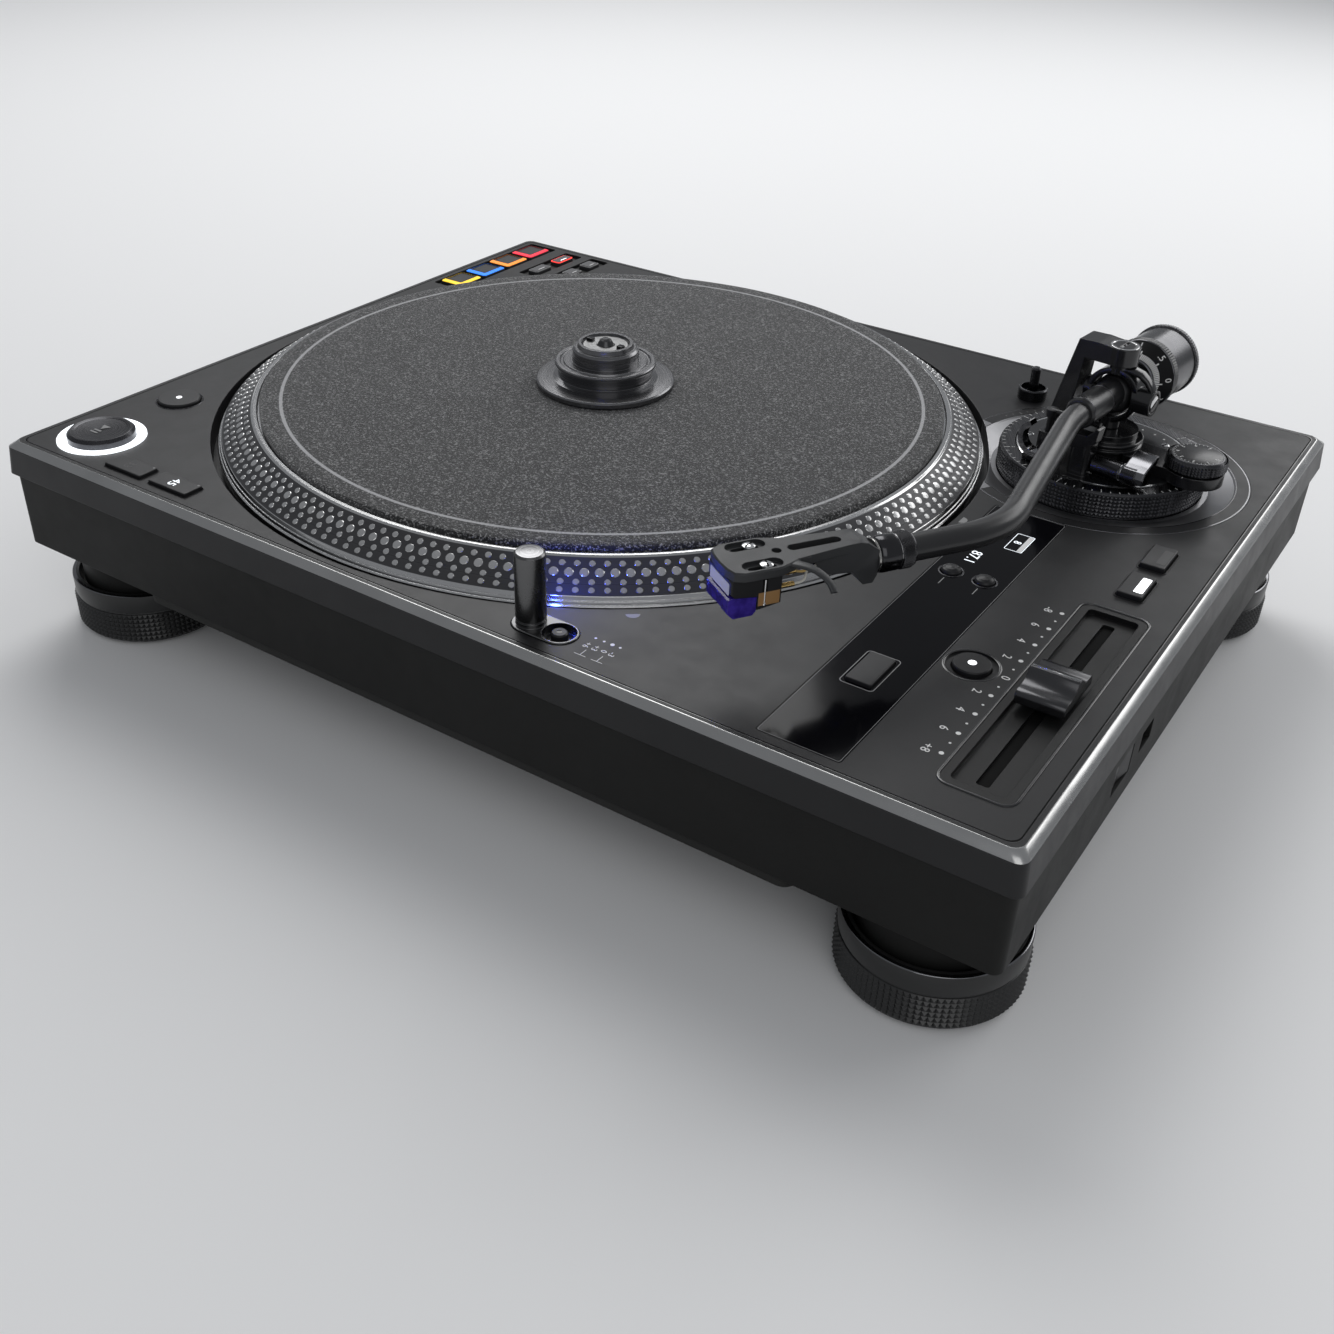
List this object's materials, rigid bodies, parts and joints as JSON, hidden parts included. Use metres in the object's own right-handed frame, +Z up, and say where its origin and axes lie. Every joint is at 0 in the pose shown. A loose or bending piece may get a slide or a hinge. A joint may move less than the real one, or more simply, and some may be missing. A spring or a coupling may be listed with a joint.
{
  "type": "dj turntable",
  "caption": "Black direct drive turntable for record decks, with a felt slip mat, a record weight, an S-shaped tonearm, a pitch fader and pads",
  "frame": {"origin": "On the table under the middle of the case", "axes": "+Z up, -Y the front with the start button and the fader, +X the side with the arm"},
  "size_m": [0.453, 0.353, 0.1388],
  "materials": {
    "case_black": "satin",
    "case_grey": "fine grain",
    "gloss_black": "gloss",
    "panel_black": "satin",
    "black_plastic": "satin",
    "lit_ring": "clear over light",
    "black_metal": "black anodised, turned",
    "arm_black": "satin",
    "core_steel": "plain",
    "brass_bush": "turned",
    "platter_metal": "polished and turned",
    "polished_steel": "polished",
    "weight_steel": "graphite satin",
    "felt": "felt",
    "pad_rubber": "matte",
    "foot_rubber": "satin"
  },
  "bodies": {
    "case": {"top_case": "case_black", "lower_case": "case_grey", "bottom_cover": "case_grey", "arm_base_panel": "gloss_black", "control_panel": "panel_black", "pad_tray": "black_plastic", "pitch_fader": "black_plastic", "start_light_ring": "lit_ring", "strobe_pillar": "gloss_black", "headshell_stand": "black_metal", "stator": "core_steel", "spindle_bearing": "brass_bush", "power_supply": "core_steel", "power_inlet": "black_plastic", "audio_terminals": "black_plastic"},
    "platter": {"platter": "platter_metal", "rotor_magnet": "core_steel", "spindle": "polished_steel"},
    "slipmat": {"slipmat": "felt"},
    "puck": {"puck": "black_metal"},
    "target_lamp": {"target_lamp": "polished_steel"},
    "fader_knob": {"fader_knob": "black_plastic"},
    "power_switch": {"power_switch": "black_plastic"},
    "height_ring": {"height_ring": "black_metal"},
    "arm_platform": {"arm_platform": "arm_black"},
    "arm_clip": {"arm_clip": "arm_black"},
    "lifter": {"lifter": "black_metal"},
    "cue_lever": {"cue_lever": "polished_steel"},
    "antiskate_knob": {"antiskate_knob": "black_metal"},
    "gimbal": {"gimbal": "arm_black"},
    "arm": {"arm_tube": "arm_black", "headshell": "arm_black", "cartridge": "gloss_black", "stylus": "black_plastic"},
    "collar_nut": {"collar_nut": "black_metal"},
    "weight_bush": {"weight_bush": "brass_bush"},
    "counterweight": {"counterweight": "weight_steel"},
    "force_dial": {"force_dial": "black_plastic"},
    "start_button": {"start_button": "black_metal"},
    "motor_off_button": {"motor_off_button": "black_plastic"},
    "speed_low_button": {"speed_low_button": "black_plastic"},
    "speed_high_button": {"speed_high_button": "black_plastic"},
    "reset_button": {"reset_button": "black_plastic"},
    "pitch_range_button": {"pitch_range_button": "black_plastic"},
    "key_lock_button": {"key_lock_button": "black_plastic"},
    "needle_button": {"needle_button": "black_plastic"},
    "panel_button_left": {"panel_button_left": "black_plastic"},
    "panel_button_right": {"panel_button_right": "black_plastic"},
    "pad_1": {"pad_1": "pad_rubber"},
    "pad_2": {"pad_2": "pad_rubber"},
    "pad_3": {"pad_3": "pad_rubber"},
    "pad_4": {"pad_4": "pad_rubber"},
    "mode_button_1": {"mode_button_1": "pad_rubber"},
    "mode_button_2": {"mode_button_2": "pad_rubber"},
    "deck_button_1": {"deck_button_1": "pad_rubber"},
    "deck_button_2": {"deck_button_2": "pad_rubber"},
    "foot_front_left": {"foot_front_left": "foot_rubber"},
    "foot_front_right": {"foot_front_right": "foot_rubber"},
    "foot_rear_left": {"foot_rear_left": "foot_rubber"},
    "foot_rear_right": {"foot_rear_right": "foot_rubber"}
  },
  "joints": [
    {"name": "platter_spin", "type": "hinge", "parent": "case", "child": "platter", "pos_m": [-0.0455, 0.0015, 0.085], "axis": [0, 0, -1], "continuous": true},
    {"name": "slipmat_spin", "type": "hinge", "parent": "platter", "child": "slipmat", "pos_m": [-0.0455, 0.0015, 0.085], "axis": [0, 0, -1], "continuous": true},
    {"name": "puck_lift", "type": "slide", "parent": "platter", "child": "puck", "axis": [0, 0, 1], "range_m": [0, 0.03]},
    {"name": "lamp_rise", "type": "slide", "parent": "case", "child": "target_lamp", "axis": [0, 0, 1], "range_m": [0, 0.024]},
    {"name": "start_button_press", "type": "slide", "parent": "case", "child": "start_button", "axis": [0, 0, -1], "range_m": [0, 0.0025], "stiffness_N_per_m": 400, "springref_m": -0.001},
    {"name": "motor_off_button_press", "type": "slide", "parent": "case", "child": "motor_off_button", "axis": [0, 0, -1], "range_m": [0, 0.001], "stiffness_N_per_m": 400, "springref_m": -0.001},
    {"name": "speed_low_button_press", "type": "slide", "parent": "case", "child": "speed_low_button", "axis": [0, 0, -1], "range_m": [0, 0.001], "stiffness_N_per_m": 400, "springref_m": -0.001},
    {"name": "speed_high_button_press", "type": "slide", "parent": "case", "child": "speed_high_button", "axis": [0, 0, -1], "range_m": [0, 0.001], "stiffness_N_per_m": 400, "springref_m": -0.001},
    {"name": "reset_button_press", "type": "slide", "parent": "case", "child": "reset_button", "axis": [0, 0, -1], "range_m": [0, 0.0008], "stiffness_N_per_m": 400, "springref_m": -0.001},
    {"name": "pitch_range_button_press", "type": "slide", "parent": "case", "child": "pitch_range_button", "axis": [0, 0, -1], "range_m": [0, 0.001], "stiffness_N_per_m": 400, "springref_m": -0.001},
    {"name": "key_lock_button_press", "type": "slide", "parent": "case", "child": "key_lock_button", "axis": [0, 0, -1], "range_m": [0, 0.001], "stiffness_N_per_m": 400, "springref_m": -0.001},
    {"name": "needle_button_press", "type": "slide", "parent": "case", "child": "needle_button", "axis": [0, 0, -1], "range_m": [0, 0.001], "stiffness_N_per_m": 400, "springref_m": -0.001},
    {"name": "panel_button_left_press", "type": "slide", "parent": "case", "child": "panel_button_left", "axis": [0, 0, -1], "range_m": [0, 0.001], "stiffness_N_per_m": 400, "springref_m": -0.001},
    {"name": "panel_button_right_press", "type": "slide", "parent": "case", "child": "panel_button_right", "axis": [0, 0, -1], "range_m": [0, 0.001], "stiffness_N_per_m": 400, "springref_m": -0.001},
    {"name": "pad_1_press", "type": "slide", "parent": "case", "child": "pad_1", "axis": [0, 0, -1], "range_m": [0, 0.0015], "stiffness_N_per_m": 400, "springref_m": -0.001},
    {"name": "pad_2_press", "type": "slide", "parent": "case", "child": "pad_2", "axis": [0, 0, -1], "range_m": [0, 0.0015], "stiffness_N_per_m": 400, "springref_m": -0.001},
    {"name": "pad_3_press", "type": "slide", "parent": "case", "child": "pad_3", "axis": [0, 0, -1], "range_m": [0, 0.0015], "stiffness_N_per_m": 400, "springref_m": -0.001},
    {"name": "pad_4_press", "type": "slide", "parent": "case", "child": "pad_4", "axis": [0, 0, -1], "range_m": [0, 0.0015], "stiffness_N_per_m": 400, "springref_m": -0.001},
    {"name": "mode_button_1_press", "type": "slide", "parent": "case", "child": "mode_button_1", "axis": [0, 0, -1], "range_m": [0, 0.001], "stiffness_N_per_m": 400, "springref_m": -0.001},
    {"name": "mode_button_2_press", "type": "slide", "parent": "case", "child": "mode_button_2", "axis": [0, 0, -1], "range_m": [0, 0.001], "stiffness_N_per_m": 400, "springref_m": -0.001},
    {"name": "deck_button_1_press", "type": "slide", "parent": "case", "child": "deck_button_1", "axis": [0, 0, -1], "range_m": [0, 0.001], "stiffness_N_per_m": 400, "springref_m": -0.001},
    {"name": "deck_button_2_press", "type": "slide", "parent": "case", "child": "deck_button_2", "axis": [0, 0, -1], "range_m": [0, 0.001], "stiffness_N_per_m": 400, "springref_m": -0.001},
    {"name": "pitch_slide", "type": "slide", "parent": "case", "child": "fader_knob", "axis": [0, 1, 0], "range_m": [-0.0504, 0.0504]},
    {"name": "power_rock", "type": "hinge", "parent": "case", "child": "power_switch", "pos_m": [0.2195, -0.0753, 0.054], "axis": [0, 0, 1], "range_deg": [0, 10]},
    {"name": "height_turn", "type": "hinge", "parent": "case", "child": "height_ring", "pos_m": [0.15318, 0.08367, 0.085], "axis": [0, 0, 1], "range_deg": [0, 300]},
    {"name": "platform_lift", "type": "slide", "parent": "case", "child": "arm_platform", "axis": [0, 0, 1], "range_m": [0, 0.006]},
    {"name": "clip_turn", "type": "hinge", "parent": "arm_platform", "child": "arm_clip", "pos_m": [0.1454, 0.05174, 0.1092], "axis": [-0.1104, -0.9939, 0], "range_deg": [0, 25]},
    {"name": "cue_turn", "type": "hinge", "parent": "arm_platform", "child": "cue_lever", "pos_m": [0.15037, 0.05843, 0.0972], "axis": [0.9939, -0.1104, 0], "range_deg": [0, 60]},
    {"name": "lifter_drop", "type": "slide", "parent": "arm_platform", "child": "lifter", "axis": [0, 0, -1], "range_m": [0, 0.003]},
    {"name": "antiskate_turn", "type": "hinge", "parent": "arm_platform", "child": "antiskate_knob", "pos_m": [0.19263, 0.07748, 0.085], "axis": [0, 0, 1], "range_deg": [0, 270]},
    {"name": "arm_swing", "type": "hinge", "parent": "arm_platform", "child": "gimbal", "pos_m": [0.15318, 0.08367, 0.119], "axis": [0, 0, -1], "range_deg": [-1, 42]},
    {"name": "arm_tilt", "type": "hinge", "parent": "gimbal", "child": "arm", "pos_m": [0.15318, 0.08367, 0.118], "axis": [-0.9939, 0.1104, 0], "range_deg": [-2.3, 10]},
    {"name": "collar_turn", "type": "hinge", "parent": "arm", "child": "collar_nut", "pos_m": [0.1362, -0.10147, 0.119], "axis": [-0.5423, -0.8402, 0], "range_deg": [0, 60]},
    {"name": "weight_travel", "type": "slide", "parent": "arm", "child": "weight_bush", "axis": [-0.1104, -0.9939, 0], "range_m": [-0.003, 0.003]},
    {"name": "weight_turn", "type": "hinge", "parent": "weight_bush", "child": "counterweight", "pos_m": [0.15318, 0.08367, 0.119], "axis": [-0.1104, -0.9939, 0], "range_deg": [-720, 720]},
    {"name": "dial_turn", "type": "hinge", "parent": "counterweight", "child": "force_dial", "pos_m": [0.15318, 0.08367, 0.119], "axis": [-0.1104, -0.9939, 0], "continuous": true},
    {"name": "foot_front_left_height", "type": "slide", "parent": "case", "child": "foot_front_left", "axis": [0, 0, 1], "range_m": [-0.003, 0.003]},
    {"name": "foot_front_right_height", "type": "slide", "parent": "case", "child": "foot_front_right", "axis": [0, 0, 1], "range_m": [-0.003, 0.003]},
    {"name": "foot_rear_left_height", "type": "slide", "parent": "case", "child": "foot_rear_left", "axis": [0, 0, 1], "range_m": [-0.003, 0.003]},
    {"name": "foot_rear_right_height", "type": "slide", "parent": "case", "child": "foot_rear_right", "axis": [0, 0, 1], "range_m": [-0.003, 0.003]}
  ],
  "couplings": [
    {"joint": "height_turn", "follows": "platform_lift", "rad_per_m": 872.66},
    {"joint": "cue_turn", "follows": "lifter_drop", "rad_per_m": 349.06},
    {"joint": "weight_turn", "follows": "weight_travel", "rad_per_m": 4188.7}
  ]
}
